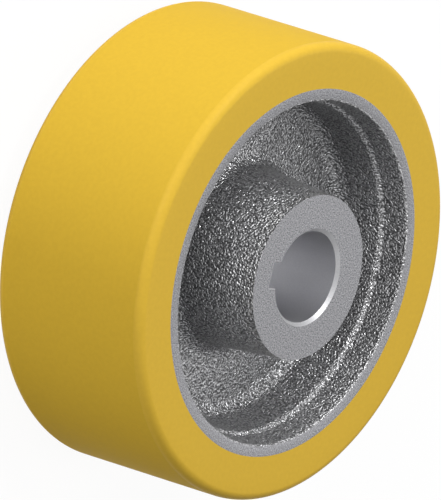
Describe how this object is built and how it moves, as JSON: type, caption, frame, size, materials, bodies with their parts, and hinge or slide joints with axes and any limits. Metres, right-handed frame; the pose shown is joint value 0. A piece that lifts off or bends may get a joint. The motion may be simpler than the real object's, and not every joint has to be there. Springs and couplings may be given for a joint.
{
  "type": "drive wheel",
  "caption": "Drive wheel: a cast hub, web and rim in one piece, with a keyed bore, and a thick smooth elastomer tread bonded on.",
  "frame": {"origin": "centre of the wheel, on the bore's axis and halfway along the hub", "axes": "+Z along the bore's axis, out of the end that faces up; +X from the axis through the middle of the keyway"},
  "size_m": [0.25, 0.25, 0.12],
  "materials": {
    "cast_iron": "satin",
    "tread": "satin"
  },
  "bodies": {
    "root": {"wheel_centre": "cast_iron", "tread": "tread"}
  },
  "joints": []
}
